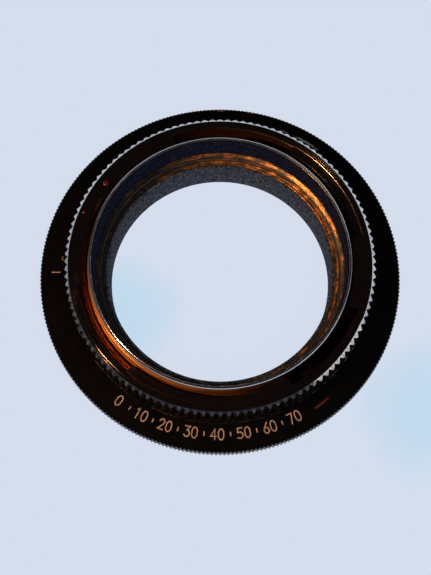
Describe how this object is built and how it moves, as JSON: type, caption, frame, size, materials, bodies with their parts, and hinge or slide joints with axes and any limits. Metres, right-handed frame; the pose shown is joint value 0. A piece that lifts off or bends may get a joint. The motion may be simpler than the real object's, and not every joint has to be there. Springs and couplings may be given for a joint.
{
  "type": "lens mount adapter ring",
  "caption": "Flat black lens-mount adapter ring: knurled grip flange, turning breech lock ring on its nose, flocked light path and a lugged bayonet behind.",
  "frame": {"origin": "on the optical axis, in the plane of the rear bayonet's end, which is the bottom centre of the part", "axes": "+Z along the optical axis towards the lock ring; +X right and +Y away from a user who holds the red bead at the upper left"},
  "size_m": [0.092, 0.092, 0.0212],
  "materials": {
    "turned_black": "fine-turned aluminium, black anodised, satin, with worn edges",
    "black_anodised": "black anodised aluminium, satin, with rub marks and fine knurling",
    "lock_ring_black": "black anodised aluminium, fine-turned face and glossy bevel over coarse knurling",
    "bayonet_steel": "bright turned steel with light wear on the lugs",
    "grey_flock": "crinkled dark grey flock",
    "blue_black_flock": "dark blue-black flock",
    "worn_brass": "coppery brass with black patches where the finish is left",
    "spring_steel": "bright spring steel",
    "blackened_steel": "blackened steel screws",
    "phosphor_bronze": "polished phosphor bronze strip",
    "scale_paint": "tan enamel filling of the engraved scale, rubbed thin",
    "index_paint": "off-white enamel filling of the index lines",
    "red_paint": "glossy red enamel"
  },
  "bodies": {
    "adapter_body": {"barrel": "turned_black", "grip_flange": "black_anodised", "rear_bayonet_ring": "bayonet_steel", "lower_flock_lining": "grey_flock", "upper_flock_lining": "blue_black_flock", "brass_seat_ring": "worn_brass", "wave_washer": "spring_steel", "travel_stop_screw": "spring_steel", "lock_pin_bush": "worn_brass", "rear_screw_1": "blackened_steel", "rear_screw_2": "blackened_steel", "rear_screw_3": "blackened_steel", "rear_screw_4": "blackened_steel", "rear_screw_5": "blackened_steel", "rear_screw_6": "blackened_steel"},
    "lock_ring_body": {"lock_ring": "lock_ring_black", "leaf_spring_1": "phosphor_bronze", "leaf_spring_2": "phosphor_bronze", "leaf_spring_3": "phosphor_bronze", "spring_screw_1": "blackened_steel", "spring_screw_2": "blackened_steel", "spring_screw_3": "blackened_steel", "index_bead": "red_paint", "index_bead_small": "red_paint"}
  },
  "joints": [
    {"name": "lock_ring_turn", "type": "hinge", "parent": "adapter_body", "child": "lock_ring_body", "pos_m": [0, 0, 0.0145], "axis": [0, 0, 1], "range_deg": [0, 40]}
  ]
}
